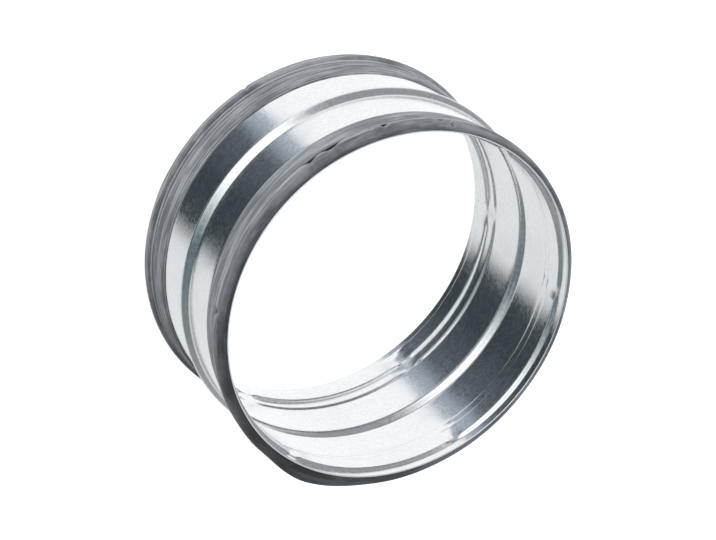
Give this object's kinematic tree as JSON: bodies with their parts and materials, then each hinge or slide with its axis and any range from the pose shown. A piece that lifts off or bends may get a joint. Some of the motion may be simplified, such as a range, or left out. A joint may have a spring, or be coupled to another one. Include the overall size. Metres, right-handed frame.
{
  "type": "duct connector",
  "caption": "Male coupling for round ventilation duct: a short galvanised steel sleeve with a stop bead round its middle and a rubber lip gasket in a pressed seat at each end.",
  "frame": {"origin": "centre of the lower rim's end face, on the sleeve's axis", "axes": "+Z along the sleeve's axis, from the lower rim to the upper rim; +X lies 17.5 degrees before the first gap in the lower seat, turning anticlockwise seen from above"},
  "size_m": [0.1656, 0.1656, 0.083],
  "materials": {
    "galvanised_steel": "bright zinc with a fine spangle, lightly scuffed",
    "grey_rubber": "matt extruded rubber, grey"
  },
  "bodies": {
    "root": {"sleeve": "galvanised_steel", "upper_gasket": "grey_rubber", "lower_gasket": "grey_rubber"}
  },
  "joints": []
}
